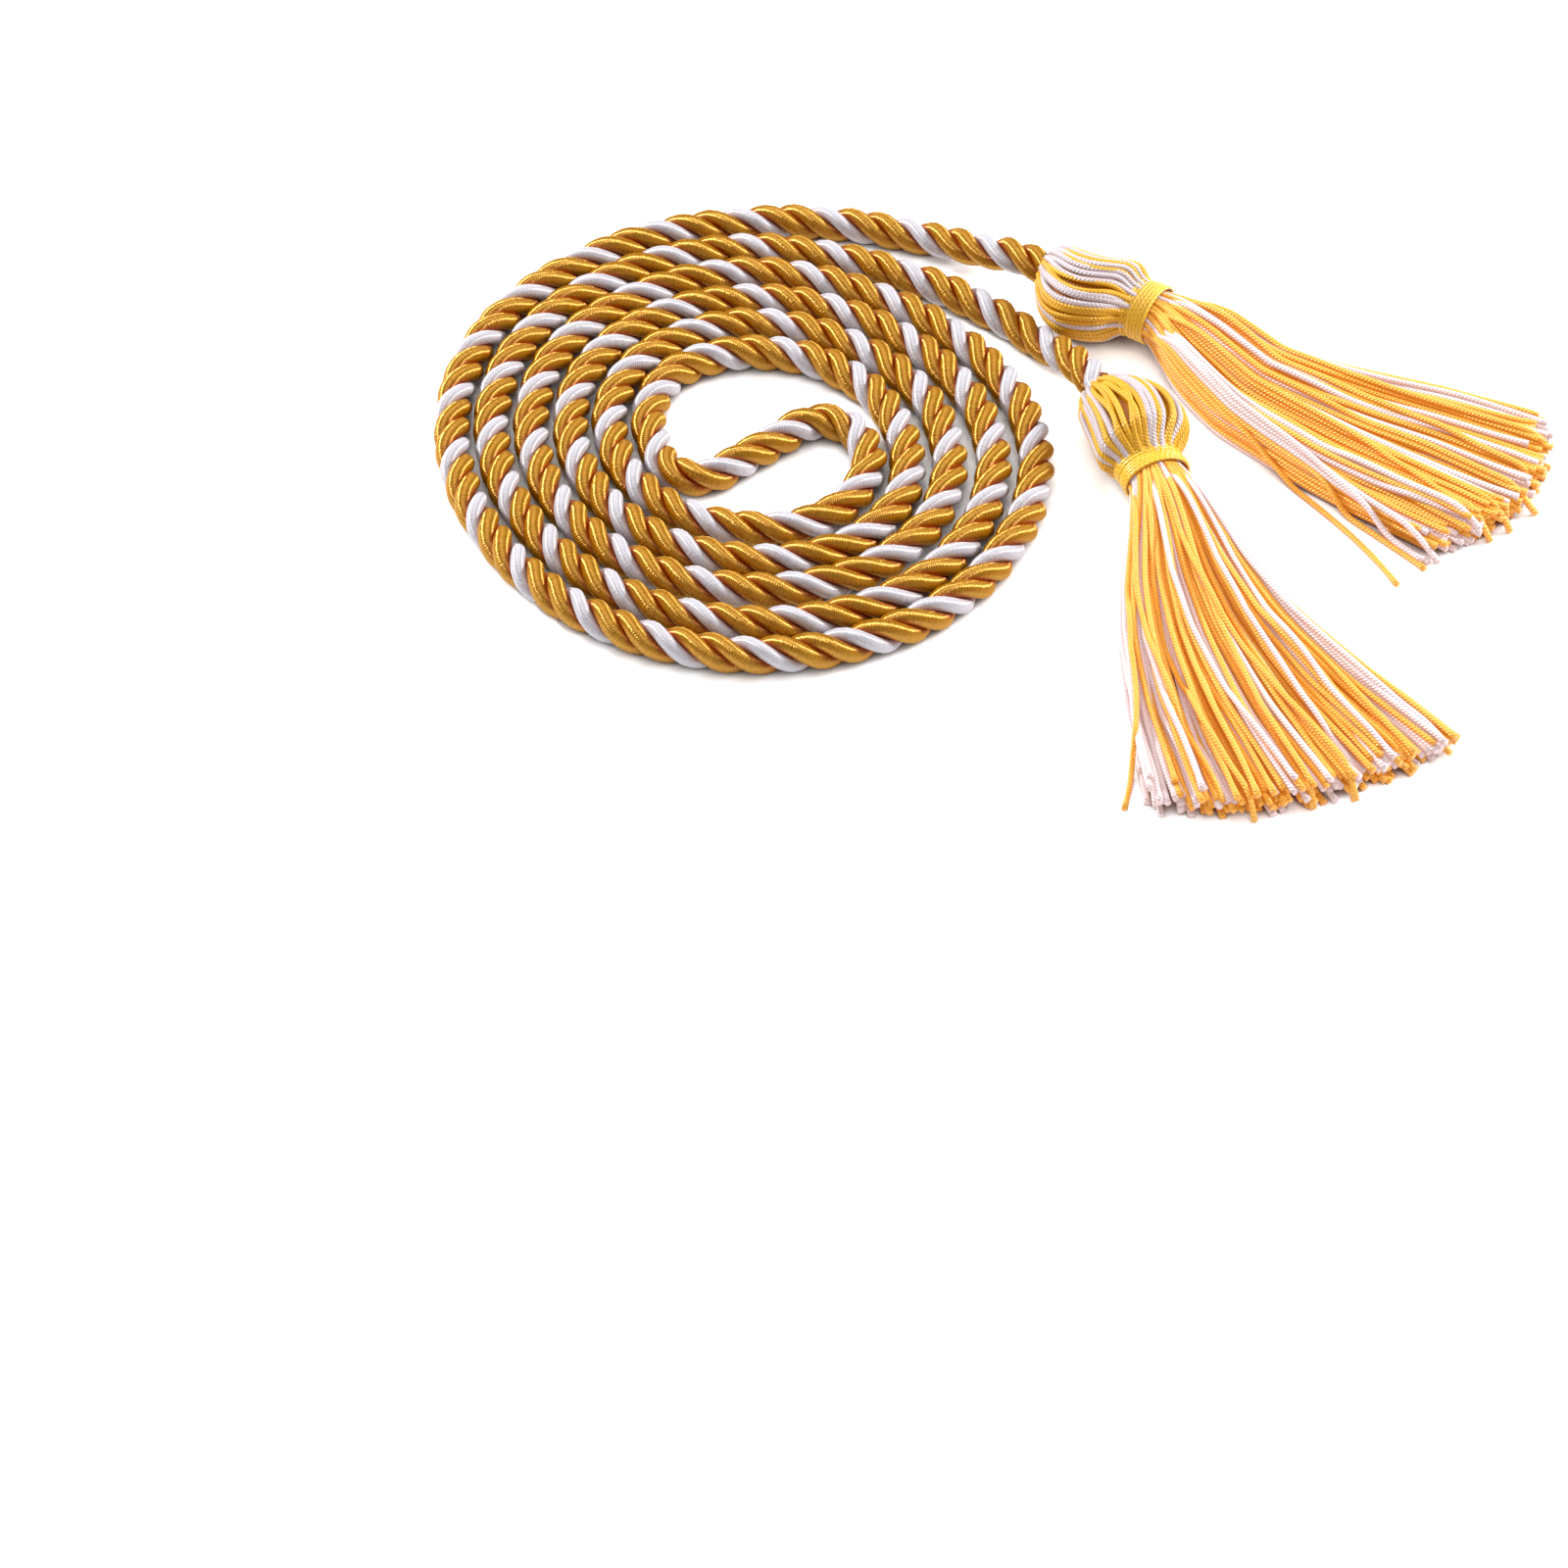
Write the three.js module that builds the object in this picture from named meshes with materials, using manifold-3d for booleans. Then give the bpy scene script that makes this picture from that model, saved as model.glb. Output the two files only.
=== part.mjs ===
// A graduation honor cord laid down as it is stored: one long twisted rope, doubled and wound
// into a flat spiral from its middle, with a tassel of cut cords at each end.
// Millimetres, +Z up. The floor is z = 0 and the origin lies under the rope's middle bend.
import * as THREE from 'three';
import Module from 'manifold-3d';
import { mergeVertices } from 'three/addons/utils/BufferGeometryUtils.js';

const wasm = await Module();
wasm.setup();

// Rope
const ropeDiameter = 6.8;
const ropeSides = 10;          // one flat side lies on the floor
const coilStep = 15;           // degrees of the coil between two steps of the rope
const joinGap = 0.3;           // between the rope's end and the head that takes it

// Tassel head: the cords are folded over the rope's end and gathered in at the neck
const headLength = 19.4;
const headWidth = 19.6;
const headHeight = 16;         // the head is pressed a little flat where it lies
const headAxis = 7.4;          // height of the mouth above the floor
const headFlutes = 12;
const fluteDepth = 0.45;
const mouthRadius = 4.2;       // where the head closes round the rope

// Neck wrap: turns of thread wound side by side. The neck is pressed flat like the head.
const neckWidth = 11.2;
const neckHeight = 8.2;
const neckAxis = 6.3;          // height of the neck's middle above the floor
const wrapTurns = 7;
const wrapThread = 0.9;        // diameter of the wound thread
const wrapClearance = 0.3;

// Skirt: the loose cords below the neck, spread on the floor in locks
const skirtLength = 82.5;
const skirtSpread = 57;        // width of the fan at its cut ends
const skirtDepth = 3.8;        // thickness of the fan at its cut ends
const lockCount = 13;
const strayCount = 4;          // locks that lie over the others

const gold = { color: 0xc68a1e, roughness: 0.42, metalness: 0 };
const tasselGold = { color: 0xf2ae3d, roughness: 0.55, metalness: 0 };
const wrapGold = { color: 0xeeb63c, roughness: 0.5, metalness: 0 };

// Worked out from the sizes above
const neckRadius = neckWidth / 2;
const neckFlatness = neckHeight / neckWidth;
const ropeAxis = ropeDiameter / 2;
const wrapWidth = wrapTurns * wrapThread;
const neckStart = headLength;
const skirtStart = neckStart + wrapWidth;

// The coil. Two arms run inwards side by side, counter-clockwise seen from above.
// outer, lag and advance are in rope diameters: the first arm's radius at the start of its
// turn, how far inside it the second arm lies, and how far each arm moves in per turn.
const coilCentre = { x: -0.43, y: 0.36 };
const coilStart = 90;
const coilTable = [
  { angle: 0, outer: 9.87, lag: 1.2, advance: 2.43 },
  { angle: 30, outer: 9.55, lag: 1.15, advance: 2.31 },
  { angle: 60, outer: 9.55, lag: 1.12, advance: 2.28 },
  { angle: 90, outer: 10, lag: 1.27, advance: 2.4 },
  { angle: 120, outer: 9.6, lag: 1.14, advance: 2.3 },
  { angle: 150, outer: 9.15, lag: 1.14, advance: 2.28 },
  { angle: 180, outer: 8.7, lag: 1.11, advance: 2.22 },
  { angle: 210, outer: 8.68, lag: 1.12, advance: 2.22 },
  { angle: 240, outer: 9.25, lag: 1.17, advance: 2.37 },
  { angle: 270, outer: 9.95, lag: 1.19, advance: 2.5 },
  { angle: 300, outer: 10.17, lag: 1.12, advance: 2.42 },
  { angle: 330, outer: 9.95, lag: 1.12, advance: 2.33 },
];

// Stretches outside the coil, point by point, in rope diameters from the coil's centre.
// lift goes from 0, on the floor, to 1, at the height of the tassel head's axis.
const firstTail = [
  { x: 8.773, y: 7.04, lift: 1 },
  { x: 7.9, y: 7.635, lift: 0.97 },
  { x: 6.9, y: 8.33, lift: 0.5 },
  { x: 5.1, y: 9.34, lift: 0 },
  { x: 3.42, y: 9.84, lift: 0 },
  { x: 1.7, y: 10.09, lift: 0 },
];
const secondTail = [
  { x: 10.023, y: 1.322, lift: 1 },
  { x: 9.66, y: 2.27, lift: 0.97 },
  { x: 9.17, y: 3.28, lift: 0.5 },
  { x: 8.32, y: 4.52, lift: 0 },
  { x: 7.3, y: 5.58, lift: 0 },
  { x: 6.22, y: 6.5, lift: 0 },
  { x: 4.9, y: 7.34, lift: 0 },
  { x: 3.39, y: 8.05, lift: 0 },
  { x: 1.7, y: 8.54, lift: 0 },
];
const middleBend = [
  { x: 3.46, y: -1.15, lift: 0 },
  { x: 3.4, y: -0.55, lift: 0 },
  { x: 3.28, y: -0.06, lift: 0 },
  { x: 3.15, y: 0.3, lift: 0 },
  { x: 2.91, y: 0.59, lift: 0 },
  { x: 2.58, y: 0.78, lift: 0 },
  { x: 2.2, y: 0.85, lift: 0 },
  { x: 1.82, y: 0.78, lift: 0 },
  { x: 1.46, y: 0.57, lift: 0 },
  { x: 0.95, y: 0.11, lift: 0 },
  { x: 0.43, y: -0.36, lift: 0 },
  { x: -0.09, y: -0.83, lift: 0 },
  { x: -0.61, y: -1.29, lift: 0 },
  { x: -0.96, y: -1.5, lift: 0 },
  { x: -1.33, y: -1.57, lift: 0 },
  { x: -1.7, y: -1.5, lift: 0 },
  { x: -2.02, y: -1.32, lift: 0 },
  { x: -2.26, y: -1.03, lift: 0 },
  { x: -2.38, y: -0.69, lift: 0 },
  { x: -2.48, y: -0.2, lift: 0 },
  { x: -2.6, y: 0.28, lift: 0 },
];
const firstArm = { from: 90, to: 1050, lagging: 0 };
const secondArm = { from: 90, to: 885, lagging: 1 };

// How the skirt spreads, seen along its axis from the neck. along is a share of skirtLength,
// left and right are shares of skirtSpread, measured from the axis.
const firstSpread = [
  { along: 0, left: 0.09, right: -0.09 },
  { along: 0.08, left: 0.12, right: -0.14 },
  { along: 0.19, left: 0.145, right: -0.24 },
  { along: 0.34, left: 0.12, right: -0.35 },
  { along: 0.5, left: 0.16, right: -0.42 },
  { along: 0.75, left: 0.26, right: -0.56 },
  { along: 1, left: 0.33, right: -0.7 },
];
const secondSpread = [
  { along: 0, left: 0.09, right: -0.09 },
  { along: 0.08, left: 0.1, right: -0.12 },
  { along: 0.19, left: 0.115, right: -0.2 },
  { along: 0.34, left: 0.14, right: -0.32 },
  { along: 0.5, left: 0.175, right: -0.42 },
  { along: 0.75, left: 0.27, right: -0.54 },
  { along: 1, left: 0.39, right: -0.62 },
];

// How the skirt sinks to the floor. top and bottom run from 1, the neck's own height there,
// to 0, the height at the cut ends.
const sink = [
  { along: 0, top: 1, bottom: 1 },
  { along: 0.08, top: 1, bottom: 0.45 },
  { along: 0.19, top: 0.75, bottom: 0.05 },
  { along: 0.34, top: 0.45, bottom: 0 },
  { along: 0.6, top: 0.16, bottom: 0 },
  { along: 1, top: 0, bottom: 0 },
];

// The head's outline. swell goes from 0, on the line from mouth to neck, to 1, the full width.
const headOutline = [
  { along: 0, swell: 0 },
  { along: 0.06, swell: 0.36 },
  { along: 0.16, swell: 0.6 },
  { along: 0.3, swell: 0.78 },
  { along: 0.48, swell: 0.93 },
  { along: 0.7, swell: 1 },
  { along: 0.88, swell: 0.95 },
  { along: 0.95, swell: 0.7 },
  { along: 1, swell: 0 },
];

// How far the middle of each head sags to the left of the line from mouth to neck
const firstLean = -4.3;
const secondLean = 1.8;

// Straight-line reading of one column of a table
function readTable(table, key, column, at) {
  let row = 1;
  while (row < table.length - 1 && table[row][key] < at) row += 1;
  const low = table[row - 1];
  const high = table[row];
  const share = (at - low[key]) / (high[key] - low[key]);
  return THREE.MathUtils.lerp(low[column], high[column], share);
}

// Smooth reading of one column of the coil's table, which repeats each turn
function readCoil(column, angle) {
  const spacing = 360 / coilTable.length;
  const place = THREE.MathUtils.euclideanModulo(angle, 360) / spacing;
  const row = Math.floor(place);
  const t = place - row;
  const [a, b, c, d] = [-1, 0, 1, 2].map(
    (step) => coilTable[(row + step + coilTable.length) % coilTable.length][column]
  );
  return b + 0.5 * t * (c - a + t * (2 * a - 5 * b + 4 * c - d + t * (3 * (b - c) + d - a)));
}

function ropePoint({ x, y, lift }) {
  return new THREE.Vector3(
    (x + coilCentre.x) * ropeDiameter,
    (y + coilCentre.y) * ropeDiameter,
    THREE.MathUtils.lerp(ropeAxis, headAxis, lift)
  );
}

function coilPoints({ from, to, lagging }) {
  const points = [];
  for (let angle = from; angle <= to; angle += coilStep) {
    const turns = (angle - coilStart) / 360;
    const radius = readCoil('outer', angle) - lagging * readCoil('lag', angle)
      - turns * readCoil('advance', angle);
    const heading = THREE.MathUtils.degToRad(angle);
    points.push(ropePoint({ x: radius * Math.cos(heading), y: radius * Math.sin(heading), lift: 0 }));
  }
  return points;
}

function ropeRoute() {
  return [
    ...firstTail.map(ropePoint),
    ...coilPoints(firstArm),
    ...middleBend.map(ropePoint),
    ...coilPoints(secondArm).reverse(),
    ...secondTail.map(ropePoint).reverse(),
  ];
}

// A path whose steps fall on its own points and whose section never rolls
class LaidPath extends THREE.CatmullRomCurve3 {
  getUtoTmapping(u) {
    return u;
  }

  computeFrenetFrames(segments) {
    const up = new THREE.Vector3(0, 0, 1);
    const frames = { tangents: [], normals: [], binormals: [] };
    for (let step = 0; step <= segments; step += 1) {
      const tangent = this.getTangentAt(step / segments);
      const binormal = tangent.clone().cross(up).normalize();
      frames.tangents.push(tangent);
      frames.binormals.push(binormal);
      frames.normals.push(binormal.clone().cross(tangent).normalize());
    }
    return frames;
  }
}

// A regular outline with a flat side towards -x, which the path turns to the floor
function flatSidedShape(diameter, sides) {
  const radius = diameter / 2 / Math.cos(Math.PI / sides);
  const corners = [];
  for (let corner = 0; corner < sides; corner += 1) {
    const angle = ((corner + 0.5) * 2 * Math.PI) / sides;
    corners.push(new THREE.Vector2(radius * Math.cos(angle), radius * Math.sin(angle)));
  }
  return new THREE.Shape(corners);
}

function ropeGeometry(route) {
  return new THREE.ExtrudeGeometry(flatSidedShape(ropeDiameter, ropeSides), {
    steps: route.length - 1,
    extrudePath: new LaidPath(route, false, 'centripetal'),
  });
}

// Head and neck core, turned about the x axis: mouth at x = joinGap, neck towards +x.
// Round at the mouth, it grows flatter towards the neck and over the swell.
function headGeometry(lean) {
  const profile = [new THREE.Vector2(0, joinGap)];
  for (const { along, swell } of headOutline) {
    const line = THREE.MathUtils.lerp(mouthRadius, neckRadius, along);
    const radius = THREE.MathUtils.lerp(line, headWidth / 2, swell);
    profile.push(new THREE.Vector2(radius, THREE.MathUtils.lerp(joinGap, headLength, along)));
  }
  profile.push(new THREE.Vector2(neckRadius, skirtStart));
  profile.push(new THREE.Vector2(neckRadius * 0.5, skirtStart + neckRadius));
  profile.push(new THREE.Vector2(0, skirtStart + neckRadius));
  const geometry = new THREE.LatheGeometry(profile, headFlutes * 2);
  geometry.rotateZ(-Math.PI / 2);

  const position = geometry.attributes.position;
  const flatness = headHeight / headWidth;
  for (let index = 0; index < position.count; index += 1) {
    const y = position.getY(index);
    const z = position.getZ(index);
    const radius = Math.hypot(y, z);
    const share = THREE.MathUtils.clamp((position.getX(index) - joinGap) / (headLength - joinGap), 0, 1);
    const swell = readTable(headOutline, 'along', 'swell', share);
    const valley = Math.cos(Math.atan2(z, y) * headFlutes) < 0;
    const scale = radius > 0 && valley ? 1 - (fluteDepth * swell) / radius : 1;
    const lineAxis = THREE.MathUtils.lerp(headAxis, neckAxis, share);
    const lineFlatness = THREE.MathUtils.lerp(1, neckFlatness, share);
    const middle = THREE.MathUtils.lerp(lineAxis, headHeight / 2, swell);
    const pressed = THREE.MathUtils.lerp(lineFlatness, flatness, swell);
    position.setY(index, y * scale + lean * Math.sin(Math.PI * share));
    position.setZ(index, z * scale * pressed + middle);
  }
  return geometry;
}

// Half thickness and middle height of the skirt at one place along it
function skirtBand(along) {
  const top = THREE.MathUtils.lerp(
    skirtDepth, neckAxis + neckHeight / 2, readTable(sink, 'along', 'top', along)
  );
  const bottom = (neckAxis - neckHeight / 2) * readTable(sink, 'along', 'bottom', along);
  return { half: (top - bottom) / 2, middle: (top + bottom) / 2 };
}

// One lock: a six-sided strip from the neck's core to the cut ends.
// place runs across the skirt from -1 to 1, length is a share of skirtLength.
function lockGeometry(spread, { place, breadth, length, raise }) {
  const segments = 8;
  const geometry = new THREE.CylinderGeometry(1, 1, 1, 6, segments);
  const position = geometry.attributes.position;
  for (let index = 0; index < position.count; index += 1) {
    const station = 0.5 - position.getY(index);
    const across = position.getX(index);
    const over = position.getZ(index);
    const along = station * station * 0.35 + station * 0.65;
    const left = readTable(spread, 'along', 'left', along) * skirtSpread;
    const right = readTable(spread, 'along', 'right', along) * skirtSpread;
    const band = skirtBand(along);
    const halfBreadth = breadth * (left - right) * 0.5;
    const middle = THREE.MathUtils.lerp(right, left, (place * (1 - breadth) + 1) / 2);
    const arch = Math.sqrt(1 - 0.72 * place * place * (1 - along));
    const thin = THREE.MathUtils.lerp(0.82, 1, along);
    position.setXYZ(
      index,
      skirtStart + wrapClearance + along * skirtLength * length,
      middle * THREE.MathUtils.lerp(0.82, 1, Math.min(1, along * 12)) + across * halfBreadth,
      band.middle + over * band.half * arch * thin + raise * band.half * Math.sin(Math.PI * station)
    );
  }
  return geometry;
}

function skirtLocks(spread) {
  const locks = [];
  for (let lock = 0; lock < lockCount; lock += 1) {
    const place = (2 * lock) / (lockCount - 1) - 1;
    locks.push({ place, breadth: 1.15 / lockCount, length: 1 - 0.1 * place * place - 0.02 * (lock % 3), raise: 0 });
  }
  for (let stray = 0; stray < strayCount; stray += 1) {
    const place = (2 * stray + 1) / strayCount - 1;
    locks.push({ place: place * 0.8, breadth: 0.9 / lockCount, length: 0.94, raise: 0.22 });
  }
  return locks.map((lock) => lockGeometry(spread, lock));
}

function toSolid(geometry) {
  const bare = geometry.clone();
  bare.deleteAttribute('normal');
  bare.deleteAttribute('uv');
  const welded = mergeVertices(bare, 1e-4);
  return new wasm.Manifold(new wasm.Mesh({
    numProp: 3,
    vertProperties: new Float32Array(welded.attributes.position.array),
    triVerts: new Uint32Array(welded.index.array),
  }));
}

function fuse(geometries) {
  const fused = geometries.map(toSolid).reduce((all, next) => all.add(next));
  const mesh = fused.getMesh();
  const geometry = new THREE.BufferGeometry();
  geometry.setAttribute('position', new THREE.BufferAttribute(mesh.vertProperties, 3));
  geometry.setIndex(new THREE.BufferAttribute(mesh.triVerts, 1));
  geometry.computeVertexNormals();
  return geometry;
}

// The wound ring: one rounded ridge for each turn of thread
function wrapGeometry() {
  const inner = neckRadius + wrapClearance;
  const profile = [new THREE.Vector2(inner, neckStart)];
  for (let turn = 0; turn < wrapTurns; turn += 1) {
    const start = neckStart + turn * wrapThread;
    profile.push(new THREE.Vector2(inner + wrapThread * 0.55, start));
    profile.push(new THREE.Vector2(inner + wrapThread, start + wrapThread * 0.5));
  }
  profile.push(new THREE.Vector2(inner + wrapThread * 0.55, skirtStart));
  profile.push(new THREE.Vector2(inner, skirtStart));
  profile.push(profile[0].clone());
  const geometry = new THREE.LatheGeometry(profile, headFlutes * 2);
  geometry.rotateZ(-Math.PI / 2);
  geometry.scale(1, 1, neckFlatness);
  geometry.translate(0, 0, neckAxis);
  return geometry;
}

function namedMesh(name, geometry, look) {
  const mesh = new THREE.Mesh(geometry, new THREE.MeshStandardMaterial(look));
  mesh.name = name;
  return mesh;
}

// A tassel with its mouth at one end of the rope, its axis level and in line with the rope
function tassel(prefix, end, before, lean, spread) {
  const group = new THREE.Group();
  group.add(
    namedMesh(`${prefix}_tassel`, fuse([headGeometry(lean), ...skirtLocks(spread)]), tasselGold),
    namedMesh(`${prefix}_neck_wrap`, wrapGeometry(), wrapGold)
  );
  group.position.set(end.x, end.y, 0);
  group.rotation.z = Math.atan2(end.y - before.y, end.x - before.x);
  return group;
}

const route = ropeRoute();
const honorCord = new THREE.Group();
honorCord.add(namedMesh('cord', ropeGeometry(route), gold));
honorCord.add(tassel('first', route[0], route[1], firstLean, firstSpread));
honorCord.add(tassel('second', route.at(-1), route.at(-2), secondLean, secondSpread));

export default honorCord;
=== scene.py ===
import math

import bpy
import numpy as np
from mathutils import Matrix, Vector


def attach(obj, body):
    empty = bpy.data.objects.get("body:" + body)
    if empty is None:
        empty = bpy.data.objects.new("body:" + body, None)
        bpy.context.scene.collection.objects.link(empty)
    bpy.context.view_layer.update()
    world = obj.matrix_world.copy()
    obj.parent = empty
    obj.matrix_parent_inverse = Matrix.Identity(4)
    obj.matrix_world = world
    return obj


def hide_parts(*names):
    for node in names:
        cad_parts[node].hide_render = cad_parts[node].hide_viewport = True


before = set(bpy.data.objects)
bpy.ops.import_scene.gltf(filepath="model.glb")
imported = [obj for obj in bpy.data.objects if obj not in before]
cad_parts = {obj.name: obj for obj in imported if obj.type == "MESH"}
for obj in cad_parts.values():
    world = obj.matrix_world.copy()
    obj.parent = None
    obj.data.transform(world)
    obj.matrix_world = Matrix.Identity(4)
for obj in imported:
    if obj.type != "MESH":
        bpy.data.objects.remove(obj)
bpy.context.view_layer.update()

print("frame loaded:", len(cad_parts), "nodes")

# Camera: the photograph's own angle and framing, 45 degrees down on the floor
cameraSettings = {
    "place": (0.0045, -0.5690, 0.4829),
    "downAngle": 45.0,
    "lens": 90.0,          # millimetres, as is the sensor's width
    "sensor": 36.0,
    "nearest": 0.01,
}


def makeCamera(settings):
    data = bpy.data.cameras.new("camera")
    data.lens = settings["lens"]
    data.sensor_width = settings["sensor"]
    data.clip_start = settings["nearest"]
    camera = bpy.data.objects.new("camera", data)
    camera.location = settings["place"]
    camera.rotation_euler = (math.radians(90.0 - settings["downAngle"]), 0.0, 0.0)
    bpy.context.collection.objects.link(camera)
    bpy.context.scene.camera = camera


makeCamera(cameraSettings)
print("camera placed")


# Mesh helpers

def column(rows, index):
    return [row[index] for row in rows]


def smoothStep(t):
    t = np.clip(t, 0.0, 1.0)
    return t * t * (3.0 - 2.0 * t)


def unit(vectors):
    return vectors / np.maximum(np.linalg.norm(vectors, axis=-1, keepdims=True), 1e-12)


def resample(points, count):
    steps = np.linalg.norm(np.diff(points, axis=0), axis=1)
    along = np.concatenate([[0.0], np.cumsum(steps)])
    at = np.linspace(0.0, along[-1], count)
    return np.stack([np.interp(at, along, points[:, axis]) for axis in range(3)], 1)


def catmullRom(points, perSpan):
    # centripetal, with a mirrored point past each end
    pts = np.vstack([2 * points[0] - points[1], points, 2 * points[-1] - points[-2]])
    out = []
    for a, b, c, d in zip(pts, pts[1:], pts[2:], pts[3:]):
        gaps = [max(np.linalg.norm(q - p) ** 0.5, 1e-6) for p, q in ((a, b), (b, c), (c, d))]
        slopeIn = ((b - a) / gaps[0] - (c - a) / (gaps[0] + gaps[1]) + (c - b) / gaps[1]) * gaps[1]
        slopeOut = ((c - b) / gaps[1] - (d - b) / (gaps[1] + gaps[2]) + (d - c) / gaps[2]) * gaps[1]
        for t in np.arange(perSpan) / perSpan:
            out.append(
                b + slopeIn * t
                + (3 * (c - b) - 2 * slopeIn - slopeOut) * t * t
                + (2 * (b - c) + slopeIn + slopeOut) * t ** 3
            )
    out.append(points[-1])
    return np.array(out)


floorClearance = 0.00002    # what rests on the floor is this far above it


class MeshParts:
    # gathers tubes into one mesh, with a material for each tube and a uv map of turns
    # round the tube, plus the tube's number, and metres along it
    def __init__(self):
        self.verts, self.faces, self.uvs, self.slots, self.count = [], [], [], [], 0

    def addTube(self, centres, outward, radii, sides, slot, number=0):
        rings = len(centres)
        tangents = unit(np.gradient(centres, axis=0))
        outward = unit(outward - tangents * np.sum(outward * tangents, 1, keepdims=True))
        sideways = np.cross(tangents, outward)
        angles = np.linspace(-math.pi, math.pi, sides, endpoint=False)
        ring = (
            np.cos(angles)[None, :, None] * outward[:, None, :]
            + np.sin(angles)[None, :, None] * sideways[:, None, :]
        )
        radii = np.asarray(radii, float)
        if radii.ndim < 2:      # one radius, or one for each ring, and not one for each point
            radii = np.broadcast_to(radii, (rings,))[:, None]
        verts = (centres[:, None, :] + ring * radii[:, :, None]).reshape(-1, 3)
        lengths = np.concatenate([[0.0], np.cumsum(np.linalg.norm(np.diff(centres, axis=0), axis=1))])

        row, side = np.meshgrid(np.arange(rings - 1), np.arange(sides), indexing="ij")
        nextSide = (side + 1) % sides
        corners = np.stack([
            row * sides + side, row * sides + nextSide,
            (row + 1) * sides + nextSide, (row + 1) * sides + side,
        ], -1).reshape(-1, 4)
        turn = np.stack([side, side + 1, side + 1, side], -1).reshape(-1, 4) / sides + number
        run = lengths[np.stack([row, row, row + 1, row + 1], -1).reshape(-1, 4)]

        self.verts.append(verts)
        self.faces += (corners + self.count).tolist()
        self.uvs.append(np.stack([turn, run], -1).reshape(-1, 2))
        self.slots += [slot] * len(corners)
        for first, order in ((0, -1), ((rings - 1) * sides, 1)):
            cap = [self.count + first + k for k in range(sides)][::order]
            self.faces.append(cap)
            self.uvs.append(np.tile([[number + 0.5, lengths[-1] if first else 0.0]], (sides, 1)))
            self.slots.append(slot)
        self.count += len(verts)

    def restOnFloor(self):
        # flattens the last tube where it rests
        self.verts[-1][:, 2] = np.maximum(self.verts[-1][:, 2], floorClearance)

    def build(self, name, materials):
        mesh = bpy.data.meshes.new(name)
        mesh.from_pydata(np.vstack(self.verts).tolist(), [], self.faces)
        layer = mesh.uv_layers.new(name="winding")
        layer.data.foreach_set("uv", np.vstack(self.uvs).astype(np.float32).ravel())
        mesh.polygons.foreach_set("material_index", np.array(self.slots, np.int32))
        mesh.polygons.foreach_set("use_smooth", np.ones(len(self.faces), bool))
        for material in materials:
            mesh.materials.append(material)
        mesh.update()
        piece = bpy.data.objects.new(name, mesh)
        bpy.context.collection.objects.link(piece)
        return piece


# The rope's route, the same as the solid cord's. Places are in rope diameters, angles in
# degrees, and lift runs from 0 on the floor to 1 at the height of the tassel heads' axis
routeSettings = {
    "diameter": 0.0068,
    "headAxis": 0.0074,
    "coilCentre": (-0.43, 0.36),
    "coilStart": 90,
    "coilStep": 15,
    "coil": [  # angle, first arm's radius, second arm's lag, advance in a turn
        (0, 9.87, 1.2, 2.43), (30, 9.55, 1.15, 2.31), (60, 9.55, 1.12, 2.28),
        (90, 10.0, 1.27, 2.4), (120, 9.6, 1.14, 2.3), (150, 9.15, 1.14, 2.28),
        (180, 8.7, 1.11, 2.22), (210, 8.68, 1.12, 2.22), (240, 9.25, 1.17, 2.37),
        (270, 9.95, 1.19, 2.5), (300, 10.17, 1.12, 2.42), (330, 9.95, 1.12, 2.33),
    ],
    "firstTail": [  # x, y, lift
        (8.773, 7.04, 1), (7.9, 7.635, 0.97), (6.9, 8.33, 0.5), (5.1, 9.34, 0), (3.42, 9.84, 0),
        (1.7, 10.09, 0),
    ],
    "secondTail": [
        (10.023, 1.322, 1), (9.66, 2.27, 0.97), (9.17, 3.28, 0.5), (8.32, 4.52, 0), (7.3, 5.58, 0),
        (6.22, 6.5, 0), (4.9, 7.34, 0), (3.39, 8.05, 0), (1.7, 8.54, 0),
    ],
    "middleBend": [
        (3.46, -1.15), (3.4, -0.55), (3.28, -0.06), (3.15, 0.3), (2.91, 0.59), (2.58, 0.78),
        (2.2, 0.85), (1.82, 0.78), (1.46, 0.57), (0.95, 0.11), (0.43, -0.36), (-0.09, -0.83),
        (-0.61, -1.29), (-0.96, -1.5), (-1.33, -1.57), (-1.7, -1.5), (-2.02, -1.32),
        (-2.26, -1.03), (-2.38, -0.69), (-2.48, -0.2), (-2.6, 0.28),
    ],
    "firstArm": (90, 1050, 0),      # from angle, to angle, lagging
    "secondArm": (90, 885, 1),
}


def ropePoint(x, y, lift=0.0):
    s = routeSettings
    low = s["diameter"] / 2
    return np.array([
        (x + s["coilCentre"][0]) * s["diameter"],
        (y + s["coilCentre"][1]) * s["diameter"],
        low + lift * (s["headAxis"] - low),
    ])


def readCoil(column, angle):
    rows = routeSettings["coil"]
    place = (angle % 360) / (360 / len(rows))
    row = int(place)
    t = place - row
    a, b, c, d = (rows[(row + step) % len(rows)][column] for step in (-1, 0, 1, 2))
    return b + 0.5 * t * (c - a + t * (2 * a - 5 * b + 4 * c - d + t * (3 * (b - c) + d - a)))


def coilPoints(start, end, lagging):
    points = []
    for angle in range(start, end + 1, routeSettings["coilStep"]):
        radius = (
            readCoil(1, angle) - lagging * readCoil(2, angle)
            - (angle - routeSettings["coilStart"]) / 360 * readCoil(3, angle)
        )
        heading = math.radians(angle)
        points.append(ropePoint(radius * math.cos(heading), radius * math.sin(heading)))
    return points


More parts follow.
